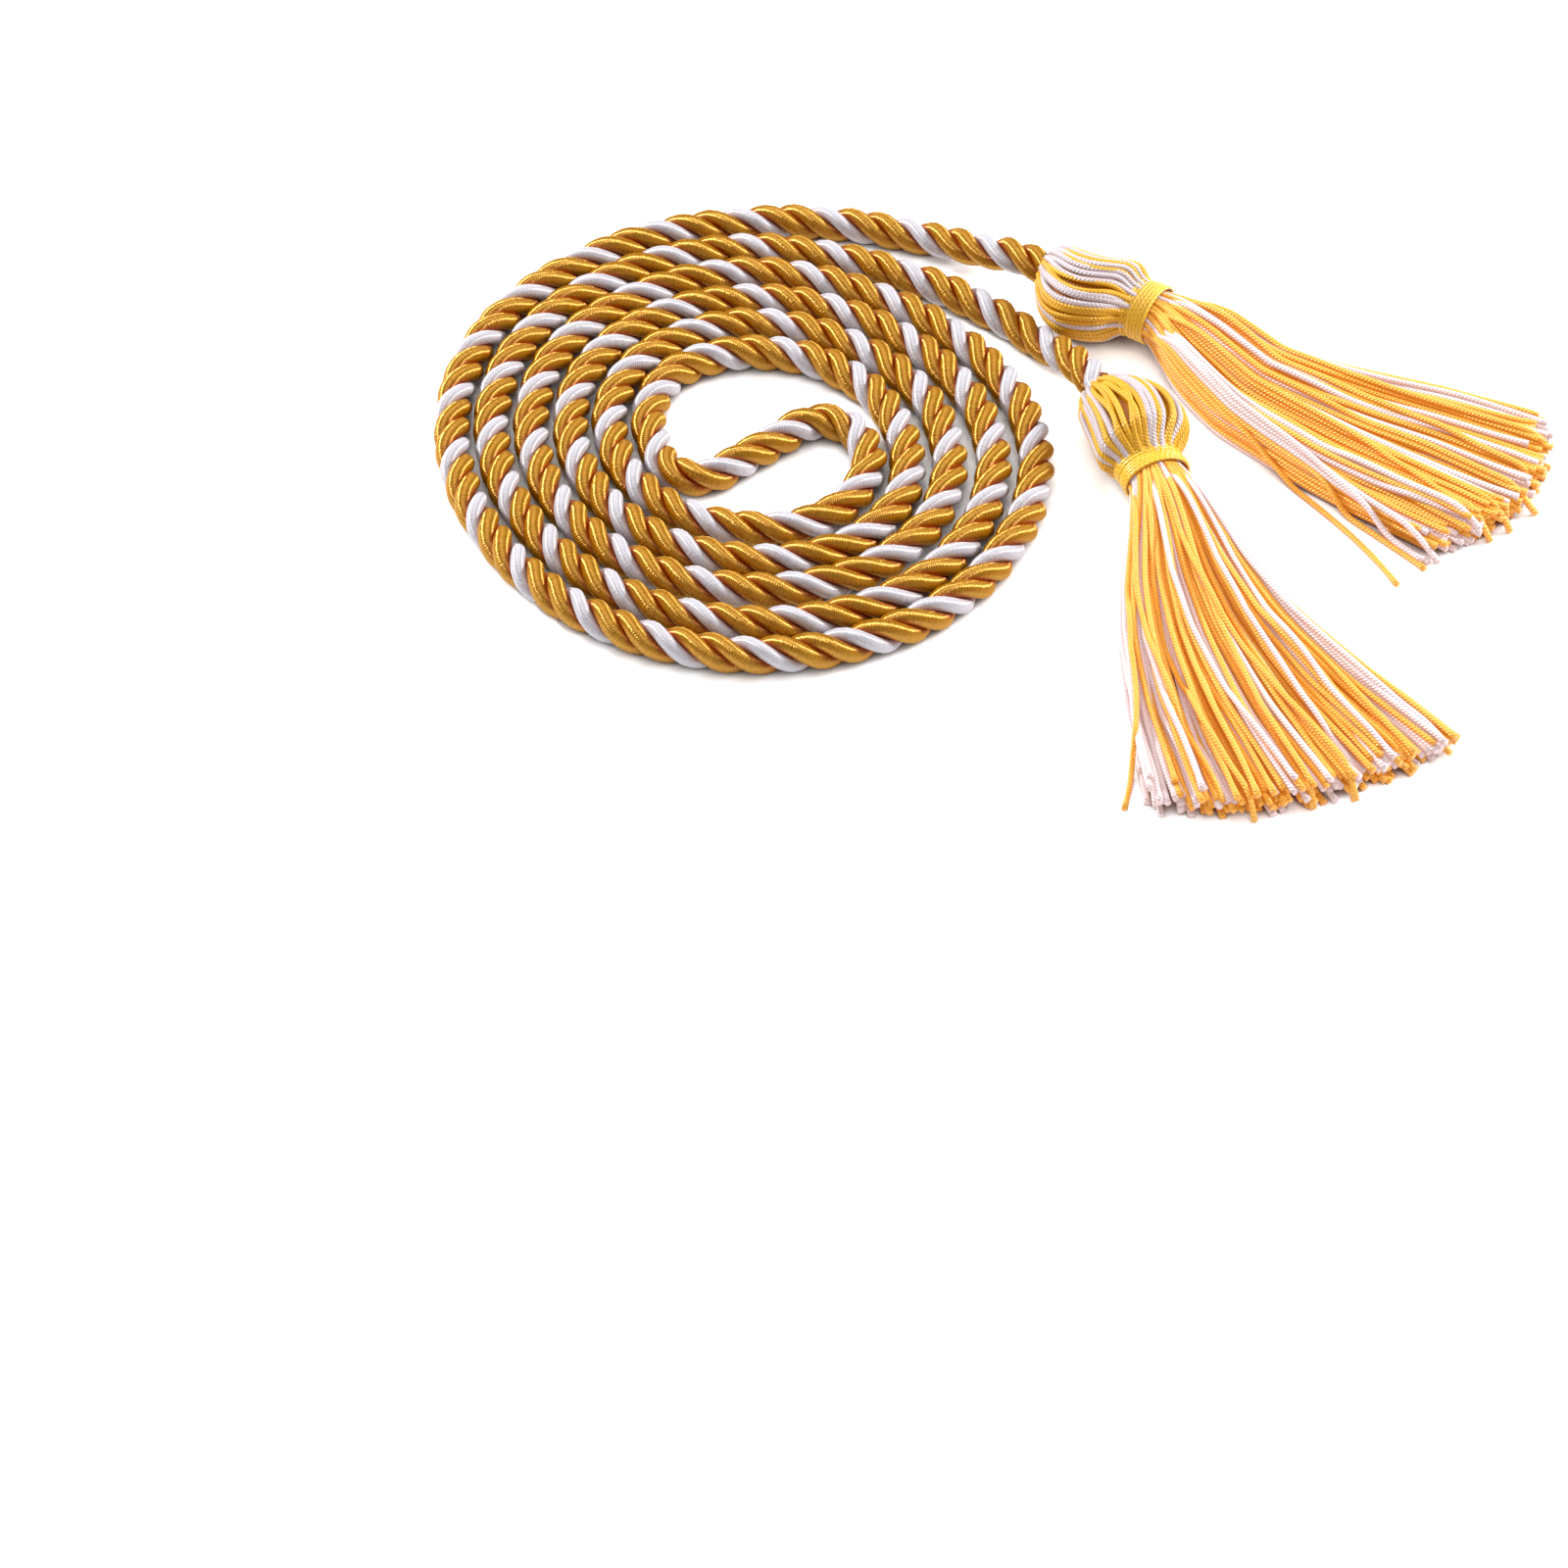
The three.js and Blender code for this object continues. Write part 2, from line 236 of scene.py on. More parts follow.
def ropeRoute():
    s = routeSettings
    points = [ropePoint(*row) for row in s["firstTail"]]
    points += coilPoints(*s["firstArm"])
    points += [ropePoint(*row) for row in s["middleBend"]]
    points += coilPoints(*s["secondArm"])[::-1]
    points += [ropePoint(*row) for row in s["secondTail"]][::-1]
    return np.array(points)


# Materials

def newMaterial(name):
    material = bpy.data.materials.new(name)
    material.use_nodes = True
    return material, material.node_tree, material.node_tree.nodes["Principled BSDF"]


def addNode(tree, kind, **settings):
    node = tree.nodes.new(kind)
    for key, value in settings.items():
        setattr(node, key, value)
    return node


def math2(tree, operation, first, second=None):
    node = addNode(tree, "ShaderNodeMath", operation=operation)
    for socket, value in zip(node.inputs, (first, second)):
        if value is None:
            continue
        if isinstance(value, (int, float)):
            socket.default_value = value
        else:
            tree.links.new(value, socket)
    return node.outputs[0]


def newGroup(name, inputs, outputs):
    group = bpy.data.node_groups.new(name, "ShaderNodeTree")
    for label, kind, value in inputs:
        socket = group.interface.new_socket(label, in_out="INPUT", socket_type=kind)
        socket.default_value = value
    for label, kind in outputs:
        group.interface.new_socket(label, in_out="OUTPUT", socket_type=kind)
    return group, addNode(group, "NodeGroupInput").outputs, addNode(group, "NodeGroupOutput").inputs


def useGroup(tree, group, **values):
    node = addNode(tree, "ShaderNodeGroup", node_tree=group)
    for label, value in values.items():
        node.inputs[label].default_value = value
    return node.outputs


def innerSide(group, turn, first, last, socket):
    # a mask for painted shade on the side of a strand that its neighbours hide, given in turns from its
    # outer side
    inward = addNode(group, "ShaderNodeMapRange", interpolation_type="SMOOTHSTEP")
    inward.inputs["From Min"].default_value = first
    inward.inputs["From Max"].default_value = last
    group.links.new(
        math2(group, "ABSOLUTE", math2(group, "SUBTRACT", turn, 0.5)), inward.inputs["Value"]
    )
    group.links.new(inward.outputs[0], socket)


def windingThreads():
    # fine threads wound round a ply: their relief, a mask for painted shade in the lines between them
    # and a slow change of tone from thread to thread
    group, given, out = newGroup(
        "windingThreads",
        [("Spacing", "NodeSocketFloat", 0.00034), ("Slant", "NodeSocketFloat", 0.3)],
        [("Relief", "NodeSocketFloat"), ("GrooveShade", "NodeSocketFloat"), ("Tone", "NodeSocketFloat"),
         ("InnerShade", "NodeSocketFloat")],
    )
    uv = addNode(group, "ShaderNodeUVMap", uv_map="winding")
    parts = addNode(group, "ShaderNodeSeparateXYZ")
    group.links.new(uv.outputs[0], parts.inputs[0])
    turn, run = parts.outputs[0], parts.outputs[1]
    innerSide(group, turn, 0.15, 0.26, out["InnerShade"])
    count = math2(group, "DIVIDE", run, given["Spacing"])
    slanted = math2(group, "ADD", count, math2(group, "MULTIPLY", turn, given["Slant"]))

    driftRound, driftAlong, driftDetail = 3.0, 0.55, 3.0
    place = addNode(group, "ShaderNodeCombineXYZ")
    group.links.new(math2(group, "MULTIPLY", turn, driftRound), place.inputs[0])
    group.links.new(math2(group, "MULTIPLY", slanted, driftAlong), place.inputs[1])
    drift = addNode(group, "ShaderNodeTexNoise", noise_dimensions="2D")
    drift.inputs["Scale"].default_value = 1.0
    drift.inputs["Detail"].default_value = driftDetail
    group.links.new(place.outputs[0], drift.inputs["Vector"])

    wobbleSize, threadHeight, driftHeight, grooveSharpness = 1.6, 0.5, 1.1, 3.0
    wobble = math2(group, "MULTIPLY", math2(group, "SUBTRACT", drift.outputs[0], 0.5), wobbleSize)
    turned = math2(group, "MULTIPLY", math2(group, "ADD", slanted, wobble), 2 * math.pi)
    wave = math2(group, "SINE", turned)
    thread = math2(group, "ADD", math2(group, "MULTIPLY", wave, 0.5), 0.5)
    relief = math2(group, "ADD", math2(group, "MULTIPLY", thread, threadHeight),
                   math2(group, "MULTIPLY", drift.outputs[0], driftHeight))
    group.links.new(relief, out["Relief"])
    # painted shade: the groove mask, strongest midway between two threads
    between = math2(group, "SUBTRACT", 1.0, thread)
    group.links.new(math2(group, "POWER", between, grooveSharpness), out["GrooveShade"])
    group.links.new(drift.outputs[0], out["Tone"])
    return group


def knitStitches():
    # the small slanting stitches of a knitted cord, four columns of them round it. The
    # uv map's whole turns number the cord, and each cord has a tone of its own
    group, given, out = newGroup(
        "knitStitches",
        [("Stitch", "NodeSocketFloat", 0.0008), ("Slope", "NodeSocketFloat", 0.9)],
        [("Relief", "NodeSocketFloat"), ("GrooveShade", "NodeSocketFloat"), ("Tone", "NodeSocketFloat"),
         ("InnerShade", "NodeSocketFloat")],
    )
    uv = addNode(group, "ShaderNodeUVMap", uv_map="winding")
    parts = addNode(group, "ShaderNodeSeparateXYZ")
    group.links.new(uv.outputs[0], parts.inputs[0])
    turn, run = parts.outputs[0], parts.outputs[1]
    # painted shade on the side of each cord that its neighbours hide
    innerSide(group, math2(group, "FRACT", turn), 0.16, 0.36, out["InnerShade"])
    columns, columnShift, grooveSharpness = 4.0, 0.5, 2.0
    across = math2(group, "MULTIPLY", turn, columns)
    fold = math2(group, "PINGPONG", across, 1.0)
    shift = math2(group, "MULTIPLY", math2(group, "FLOOR", across), columnShift)
    count = math2(group, "ADD", math2(group, "DIVIDE", run, given["Stitch"]), shift)
    slanted = math2(group, "ADD", count, math2(group, "MULTIPLY", fold, given["Slope"]))
    wave = math2(group, "SINE", math2(group, "MULTIPLY", slanted, 2 * math.pi))
    stitch = math2(group, "ADD", math2(group, "MULTIPLY", wave, 0.5), 0.5)
    bulge = math2(group, "SINE", math2(group, "MULTIPLY", fold, math.pi))
    relief = math2(group, "MULTIPLY", stitch, math2(group, "POWER", bulge, 0.5))
    group.links.new(relief, out["Relief"])
    # painted shade: the groove mask, strongest between the stitches
    between = math2(group, "SUBTRACT", 1.0, relief)
    group.links.new(math2(group, "POWER", between, grooveSharpness), out["GrooveShade"])

    driftScale, driftDetail, driftShare, ownShare = 160.0, 2.0, 0.55, 0.45
    place = addNode(group, "ShaderNodeTexCoord")
    drift = addNode(group, "ShaderNodeTexNoise")
    drift.inputs["Scale"].default_value = driftScale
    drift.inputs["Detail"].default_value = driftDetail
    group.links.new(place.outputs["Object"], drift.inputs["Vector"])
    ownTone = addNode(group, "ShaderNodeTexWhiteNoise", noise_dimensions="1D")
    group.links.new(math2(group, "FLOOR", turn), ownTone.inputs["W"])
    tone = math2(group, "ADD", math2(group, "MULTIPLY", drift.outputs[0], driftShare),
                 math2(group, "MULTIPLY", ownTone.outputs["Value"], ownShare))
    group.links.new(tone, out["Tone"])
    return group


def mixColour(tree, factor, first, second):
    node = addNode(tree, "ShaderNodeMix", data_type="RGBA")
    tree.links.new(factor, node.inputs["Factor"])
    for socket, value in ((node.inputs[6], first), (node.inputs[7], second)):
        if isinstance(value, tuple):
            socket.default_value = value
        else:
            tree.links.new(value, socket)
    return node.outputs[2]


def fibreMaterial(name, group, groupValues, look):
    material, tree, shader = newMaterial(name)
    pattern = useGroup(tree, group, **groupValues)
    toned = mixColour(tree, pattern["Tone"], look["dark"], look["light"])
    # painted shade: the groove colour darkens the lines between threads or stitches
    shaded = mixColour(
        tree, math2(tree, "MULTIPLY", pattern["GrooveShade"], look["grooveShadeStrength"]), toned, look["grooveShade"]
    )
    # painted shade: the inner colour darkens the side that neighbours hide
    shaded = mixColour(tree, pattern["InnerShade"], shaded, look["inner"])
    tree.links.new(shaded, shader.inputs["Base Color"])
    rough = addNode(tree, "ShaderNodeMapRange")
    rough.inputs["To Min"].default_value = look["roughness"][0]
    rough.inputs["To Max"].default_value = look["roughness"][1]
    tree.links.new(pattern["Tone"], rough.inputs["Value"])
    tree.links.new(rough.outputs[0], shader.inputs["Roughness"])
    bump = addNode(tree, "ShaderNodeBump")
    bump.inputs["Strength"].default_value = look["bump"]
    bump.inputs["Distance"].default_value = look["bumpDepth"]
    tree.links.new(pattern["Relief"], bump.inputs["Height"])
    tree.links.new(bump.outputs[0], shader.inputs["Normal"])
    for label, value in look["shader"].items():
        shader.inputs[label].default_value = value
    if look["shader"].get("Anisotropic"):
        tangent = addNode(tree, "ShaderNodeTangent", direction_type="UV_MAP", uv_map="winding")
        tree.links.new(tangent.outputs[0], shader.inputs["Tangent"])
    return material


satinShader = {
    "Anisotropic": 1.0, "Anisotropic Rotation": 0.25, "Specular IOR Level": 0.58,
}
knitShaderWithGlow = {
    "Specular IOR Level": 0.6, "Sheen Weight": 0.2, "Sheen Roughness": 0.45,
    "Emission Strength": 0.19,      # painted glow, standing in for light that the fine rayon lets through
}
knitRelief = {"roughness": (0.25, 0.45), "bump": 0.9, "bumpDepth": 0.00017}
looks = {  # the groove colour is painted shade between threads or stitches, and the inner colour is painted shade on the side that neighbours hide
    "goldSatin": {
        "dark": (0.44, 0.155, 0.0, 1), "light": (0.51, 0.25, 0.002, 1),
        "grooveShade": (0.24, 0.045, 0.0, 1), "inner": (0.34, 0.045, 0.0, 1),
        "grooveShadeStrength": 0.7, "roughness": (0.34, 0.42), "bump": 0.9, "bumpDepth": 0.0001,
        "shader": {**satinShader, "IOR": 2.1, "Specular Tint": (1.0, 0.94, 0.45, 1), "Metallic": 0.45},
    },
    "whiteSatin": {
        "dark": (0.43, 0.41, 0.46, 1), "light": (0.54, 0.52, 0.55, 1), "grooveShade": (0.34, 0.3, 0.34, 1),
        "inner": (0.44, 0.34, 0.33, 1),
        "grooveShadeStrength": 0.4, "roughness": (0.34, 0.42), "bump": 0.7, "bumpDepth": 0.00008,
        "shader": {**satinShader, "IOR": 1.8},
    },
    # the knits' emission colours paint a glow into their shade: orange on gold, peach on white
    "goldKnit": {
        "dark": (0.84, 0.4, 0.025, 1), "light": (0.88, 0.55, 0.09, 1), "grooveShade": (0.74, 0.27, 0.005, 1),
        "inner": (0.66, 0.2, 0.0, 1),
        "grooveShadeStrength": 0.7, **knitRelief,
        "shader": {**knitShaderWithGlow, "Emission Color": (0.9, 0.3, 0.01, 1)},
    },
    "whiteKnit": {
        "dark": (0.6, 0.5, 0.52, 1), "light": (0.73, 0.68, 0.73, 1), "grooveShade": (0.55, 0.38, 0.37, 1),
        "inner": (0.5, 0.27, 0.24, 1),
        "grooveShadeStrength": 0.65, **knitRelief,
        "shader": {**knitShaderWithGlow, "Emission Color": (1.0, 0.7, 0.62, 1), "Emission Strength": 0.22},
    },
    "shadedHeadGold": {       # painted shade: darker copies of the knits, since the heads' cords lie tighter and show more shade between them
        "dark": (0.7, 0.36, 0.005, 1), "light": (0.8, 0.54, 0.04, 1), "grooveShade": (0.52, 0.19, 0.001, 1),
        "inner": (0.36, 0.09, 0.0, 1),
        "grooveShadeStrength": 0.7, **knitRelief,
        "shader": {**knitShaderWithGlow, "Emission Color": (0.7, 0.24, 0.0, 1), "Emission Strength": 0.1,
                   "Sheen Weight": 0.0, "Specular IOR Level": 0.5},
    },
    # painted shade, as for the gold of the heads
    "shadedHeadWhite": {
        "dark": (0.5, 0.44, 0.47, 1), "light": (0.6, 0.57, 0.62, 1), "grooveShade": (0.4, 0.3, 0.31, 1),
        "inner": (0.34, 0.2, 0.17, 1),
        "grooveShadeStrength": 0.65, **knitRelief,
        "shader": {**knitShaderWithGlow, "Emission Color": (1.0, 0.7, 0.62, 1), "Emission Strength": 0.1},
    },
    "wrapKnit": {
        "dark": (0.8, 0.43, 0.012, 1), "light": (0.9, 0.62, 0.07, 1), "grooveShade": (0.5, 0.18, 0.002, 1),
        "inner": (0.22, 0.05, 0.0, 1),
        "grooveShadeStrength": 0.3, "roughness": (0.22, 0.4), "bump": 0.6, "bumpDepth": 0.0001,
        "shader": {**knitShaderWithGlow, "Emission Color": (0.4, 0.16, 0.0, 1), "Emission Strength": 0.05,
                   "Sheen Weight": 0.0},
    },
}
knit = {"Stitch": 0.00075, "Slope": 0.8}
threads = windingThreads()
stitches = knitStitches()
goldSatin = fibreMaterial("goldSatin", threads, {"Spacing": 0.00034, "Slant": 0.5}, looks["goldSatin"])
whiteSatin = fibreMaterial(
    "whiteSatin", threads, {"Spacing": 0.00038, "Slant": 0.5}, looks["whiteSatin"]
)
goldKnit = fibreMaterial("goldKnit", stitches, knit, looks["goldKnit"])
whiteKnit = fibreMaterial("whiteKnit", stitches, knit, looks["whiteKnit"])
shadedHeadGold = fibreMaterial("shadedHeadGold", stitches, knit, looks["shadedHeadGold"])
shadedHeadWhite = fibreMaterial("shadedHeadWhite", stitches, knit, looks["shadedHeadWhite"])
wrapKnit = fibreMaterial("wrapKnit", stitches, {"Stitch": 0.001, "Slope": 0.4}, looks["wrapKnit"])
print("materials made")


# The rope: three plies twisted together, two gold and one white
ropeSettings = {
    "ringsPerDiameter": 11,
    "sides": 12,
    "plies": [              # radius and distance from the rope's axis, in rope diameters
        (0.256, 0.266), (0.256, 0.266), (0.21, 0.288),
    ],
    "twist": [              # rope diameters along, turns of the plies so far
        (-1, 0.39), (0, 0.79), (22, 9.45), (34, 14.33), (60, 24.41), (80, 32.05), (100, 39.8),
        (122, 48.58), (140, 56.11), (170, 68.05), (195, 77.92), (222, 88.72),
    ],
    "unevenness": 0.015,    # of the plies' thickness
    "unevenRings": 6,       # rings from one change of thickness to the next
    "tuckedIn": 0.0030,     # how far each end runs on inside its tassel head
    "stepsPerPoint": 24,    # of the curve through the route's points
    "pathPoints": 600,
    "seed": 4,
}


def makeRope(settings):
    diameter = routeSettings["diameter"]
    route = catmullRom(ropeRoute(), settings["stepsPerPoint"])
    ends = [route[0] - route[1], route[-1] - route[-2]]
    route = np.vstack([
        route[0] + ends[0] / np.linalg.norm(ends[0]) * settings["tuckedIn"],
        route,
        route[-1] + ends[1] / np.linalg.norm(ends[1]) * settings["tuckedIn"],
    ])
    length = float(np.sum(np.linalg.norm(np.diff(route, axis=0), axis=1)))
    rings = int(length / diameter * settings["ringsPerDiameter"])
    centre = resample(route, rings)
    tangent = unit(np.gradient(centre, axis=0))
    left = unit(np.cross([0.0, 0.0, 1.0], tangent))
    up = np.cross(tangent, left)
    along = (np.linspace(0.0, length, rings) - settings["tuckedIn"]) / diameter
    turns = np.interp(along, column(settings["twist"], 0), column(settings["twist"], 1))

    random = np.random.default_rng(settings["seed"])
    parts = MeshParts()
    for ply, (radius, orbit) in enumerate(settings["plies"]):
        angle = 2 * math.pi * (turns + ply / 3)
        outward = np.cos(angle)[:, None] * left + np.sin(angle)[:, None] * up
        centres = centre + outward * orbit * diameter
        swell = random.normal(size=(rings // settings["unevenRings"] + 2, settings["sides"]))
        at = np.linspace(0, len(swell) - 1.001, rings)
        low = at.astype(int)
        share = (at - low)[:, None]
        uneven = 1 + settings["unevenness"] * (swell[low] * (1 - share) + swell[low + 1] * share)
        white = 1 if ply == 2 else 0
        parts.addTube(centres, outward, radius * diameter * uneven, settings["sides"], white)
        parts.restOnFloor()
    piece = parts.build("rope", [goldSatin, whiteSatin])
    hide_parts("cord")
    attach(piece, "root")
    print("rope made:", round(length, 3), "m,", len(piece.data.polygons), "faces")


makeRope(ropeSettings)


# The tassels: sizes as in the solids, in metres
tasselSettings = {
    "headLength": 0.0194, "headWidth": 0.0196, "headHeight": 0.016, "headAxis": 0.0074,
    "mouthRadius": 0.0042, "joinGap": 0.0003,
    "neckRadius": 0.0056,
    "wrapTurns": 7, "wrapThread": 0.0009,
    "skirtLength": 0.0825, "skirtSpread": 0.057,
    "cordRadius": 0.00053,
    "cordSides": 8,
    "outline": [  # along the head, swell from the mouth-to-neck line to the full width
        (0, 0), (0.06, 0.36), (0.16, 0.6), (0.3, 0.78), (0.48, 0.93), (0.7, 1), (0.88, 0.95),
        (0.95, 0.7), (1, 0),
    ],
}
# colours run from one edge to the other, g for gold and w for white: headColours round the
# head from its left side over the top, colours across the skirt from its right edge
firstTassel = {
    "name": "first",
    "seed": 11,
    "lean": -0.0043,
    "neckFlat": 0.8,           # height over width, pressed by the weight on it
    "neckAxis": 0.0069,
    "shorter": (0.1, 0.08),    # how much shorter the skirt is at its right and left edges
    "inset": 0.24,             # share of the spread at its right that only loose cords reach
    "spread": [  # along the skirt, left and right edges as shares of skirtSpread
        (0, 0.09, -0.09), (0.08, 0.12, -0.14), (0.19, 0.145, -0.24), (0.34, 0.12, -0.35),
        (0.5, 0.16, -0.42), (0.75, 0.26, -0.56), (1, 0.33, -0.7),
    ],
    "colours": "gwwgwwgwwwgggggggwgggwggwwgggggggwwggggwggwwgg",
    "headColours": "gggwggggwgwgwwwggwwwggggwgggggwggggwwggwgggwgg",
    "strays": [  # shares of the spread at four places along it, length, colour
        ((0.02, 0.03, 0.05, -0.01), 0.88, "g"), ((0.05, 0.06, 0.1, 0.13), 0.905, "g"),
        ((0.1, 0.08, 0.115, 0.16), 0.9, "w"), ((0.08, 0.1, 0.14, 0.19), 0.92, "w"),
        ((0.15, 0.13, 0.12, 0.145), 0.89, "w"), ((0.2, 0.22, 0.3, 0.36), 0.96, "w"),
        ((0.5, 0.56, 0.58, 0.6), 1.02, "g"), ((0.62, 0.66, 0.7, 0.74), 0.97, "w"),
        ((0.8, 0.78, 0.72, 0.7), 0.99, "g"), ((0.92, 0.9, 0.86, 0.87), 0.95, "g"),
        ((0.4, 0.38, 0.44, 0.48), 1.0, "g"), ((0.3, 0.4, 0.42, 0.4), 0.98, "g"),
    ],
}
secondTassel = {
    "name": "second",
    "seed": 23,
    "lean": 0.0018,
    "neckFlat": 0.71,
    "neckAxis": 0.0062,
    "shorter": (0.1, 0.03),
    "inset": 0.0,
    "spread": [
        (0, 0.09, -0.09), (0.08, 0.1, -0.12), (0.19, 0.115, -0.2), (0.34, 0.14, -0.32),
        (0.5, 0.175, -0.42), (0.75, 0.27, -0.54), (1, 0.39, -0.62),
    ],
    "colours": "wwwgwwgggwgggggggwgggwggwwgggwgggwggwggggwwwgg",
    "headColours": "gggggwggwgwwggggggwgwwgwgggwggwggggwwggwgggwgg",
    "strays": [
        ((0.03, 0.0, 0.0, -0.12), 0.865, "g"), ((0.02, 0.06, 0.14, 0.19), 0.95, "g"),
        ((0.3, 0.33, 0.38, 0.42), 0.97, "w"), ((0.55, 0.53, 0.49, 0.47), 1.0, "g"),
        ((0.7, 0.72, 0.77, 0.8), 0.97, "g"), ((0.9, 0.9, 0.93, 0.96), 0.96, "w"),
        ((0.45, 0.5, 0.57, 0.6), 1.01, "g"), ((0.82, 0.8, 0.77, 0.75), 0.98, "w"),
        ((0.25, 0.2, 0.22, 0.28), 0.99, "g"), ((0.62, 0.68, 0.66, 0.64), 0.98, "w"),
    ],
}


def headRadius(along):
    s = tasselSettings
    line = s["mouthRadius"] + (s["neckRadius"] - s["mouthRadius"]) * along
    swell = np.interp(along, column(s["outline"], 0), column(s["outline"], 1))
    return line + (s["headWidth"] / 2 - line) * swell, swell


def headSection(tassel, along, swell):
    # the middle of the head at one place along it, and how far it is flattened there
    s = tasselSettings
    sideways = tassel["lean"] * np.sin(math.pi * np.clip(along, 0, 1))
    height = s["headAxis"] + (tassel["neckAxis"] - s["headAxis"]) * along
    height = height + (s["headHeight"] / 2 - height) * swell
    flat = 1 + (tassel["neckFlat"] - 1) * along
    flat = flat + (s["headHeight"] / s["headWidth"] - flat) * swell
    return sideways, height, flat


def soften(points, times):
    for _ in range(times):
        points[1:-1] = (points[:-2] + 2 * points[1:-1] + points[2:]) / 4
    return points


class TasselFrame:
    # places a tassel's own x, y, z (x along its axis from the mouth, z up) in the world
    def __init__(self, end, before):
        heading = unit((end - before) * np.array([1.0, 1.0, 0.0]))
        self.origin = np.array([end[0], end[1], 0.0])
        self.axes = np.stack([heading, np.cross([0.0, 0.0, 1.0], heading), [0.0, 0.0, 1.0]])

    def toWorld(self, points):
        return self.origin + np.asarray(points) @ self.axes

    def turn(self, vectors):
        return np.asarray(vectors) @ self.axes


headSettings = {
    "stations": 36,                 # places along each cord
    "mouthFold": [  # where a cord folds out of the mouth: along, radius, share of the tuck
        (0.0022, 0.0036, 0), (0.0002, 0.0038, 0.5), (-0.0008, 0.0044, 1),
    ],
    "underWrap": 0.004,             # how far a cord runs on under the wrap
    "crowded": (0.0088, 0.0022),    # cords crowd where the head is thinner than this, over this
    "under": 1.7,                   # how far every other cord sinks there, in cord radii
    "tuck": 1.5,                    # and at the mouth and neck
    "uneven": 0.45,                 # cord radii that a cord may lie lower than the outline
    "drift": (0.05, 0.03),          # radians that it wanders round the head, once and twice
    "askew": 0.3,                   # share of the room between two cords
    "thickness": (1.1, 1.3),        # of the cords, flattened by the pull, in cord radii
    "core": (0.06, 0.9),            # the wound core's ends, as shares of the head
    "coreRings": 24, "coreSides": 36,
    "coreDepth": 3.4,               # under the outline, in cord radii
    "coreAhead": 0.08,              # it narrows this much before the outline does
}


def headPath(tassel, angle, under, random):
    # one cord: folded out of the mouth, over the bulb and in under the wrap. Where there
    # is no room for all of them side by side, every other one runs under its neighbours
    s, h = tasselSettings, headSettings
    along = np.linspace(0.0, 1.0, h["stations"])
    radius, swell = headRadius(along)
    crowded = smoothStep((h["crowded"][0] - radius) / h["crowded"][1])
    sunk = 1 + h["under"] * under * crowded + random.uniform(0, h["uneven"])
    radius = radius - s["cordRadius"] * sunk
    x = s["joinGap"] + (s["headLength"] - s["joinGap"]) * along
    tuck = s["cordRadius"] * h["tuck"] * under
    foldX, foldRadius, foldTuck = np.array(h["mouthFold"]).T
    x = np.concatenate([foldX, x[1:], [s["headLength"] + h["underWrap"]]])
    radius = np.concatenate([
        foldRadius - tuck * foldTuck, radius[1:], [s["neckRadius"] - s["cordRadius"] - tuck],
    ])
    hidden = np.zeros(len(foldX))
    swell = np.concatenate([hidden, swell[1:], [0]])
    share = np.concatenate([hidden, along[1:], [1]])
    drift = random.normal(0, h["drift"][0]) * np.sin(np.linspace(0, math.pi, len(x)))
    drift += random.normal(0, h["drift"][1]) * np.sin(np.linspace(0, 2 * math.pi, len(x)))
    turned = angle + drift
    sideways, height, flat = headSection(tassel, share, swell)
    out = np.stack([np.zeros(len(x)), np.cos(turned), np.sin(turned)], 1)
    points = np.stack([x, radius * out[:, 1] + sideways, radius * out[:, 2] * flat + height], 1)
    return soften(points, 3), out


def addHeadCore(parts, tassel, place):
    # the wound core under the cords
    s, h = tasselSettings, headSettings
    along = np.linspace(*h["core"], h["coreRings"])
    radius, swell = headRadius(along)
    x = s["joinGap"] + (s["headLength"] - s["joinGap"]) * along
    ahead = headRadius(np.minimum(along + h["coreAhead"], 1))[0]
    radius = np.minimum(radius, ahead) - h["coreDepth"] * s["cordRadius"]
    sideways, height, flat = headSection(tassel, along, swell)
    centres = np.stack([x, np.zeros(len(x)), np.full(len(x), s["headAxis"])], 1)
    sides = h["coreSides"]
    angles = np.linspace(-math.pi, math.pi, sides, endpoint=False)
    stretch = radius[:, None] * np.sqrt(
        np.cos(angles)[None, :] ** 2 + (np.sin(angles)[None, :] * flat[:, None]) ** 2
    )
    outward = np.tile([[0.0, 1.0, 0.0]], (len(x), 1))
    parts.addTube(place.toWorld(centres), place.turn(outward), stretch, sides, 0)
    lean = np.stack([np.zeros(len(x)), sideways, height - s["headAxis"]], 1)
    parts.verts[-1] += np.repeat(place.turn(lean), sides, axis=0)


def makeHead(tassel, place):
    s, h = tasselSettings, headSettings
    random = np.random.default_rng(tassel["seed"])
    parts = MeshParts()
    addHeadCore(parts, tassel, place)
    count = len(tassel["headColours"])
    for cord, colour in enumerate(tassel["headColours"]):
        angle = 2 * math.pi * (cord + random.uniform(-h["askew"], h["askew"])) / count
        points, out = headPath(tassel, angle, cord % 2, random)
        thick = s["cordRadius"] * random.uniform(*h["thickness"])
        white = int(colour == "w")
        parts.addTube(place.toWorld(points), place.turn(out), thick, s["cordSides"], white, cord)
    piece = parts.build(tassel["name"] + "TasselHead", [shadedHeadGold, shadedHeadWhite])
    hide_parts(tassel["name"] + "_tassel")
    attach(piece, "root")
    print(piece.name, "made:", len(piece.data.polygons), "faces")


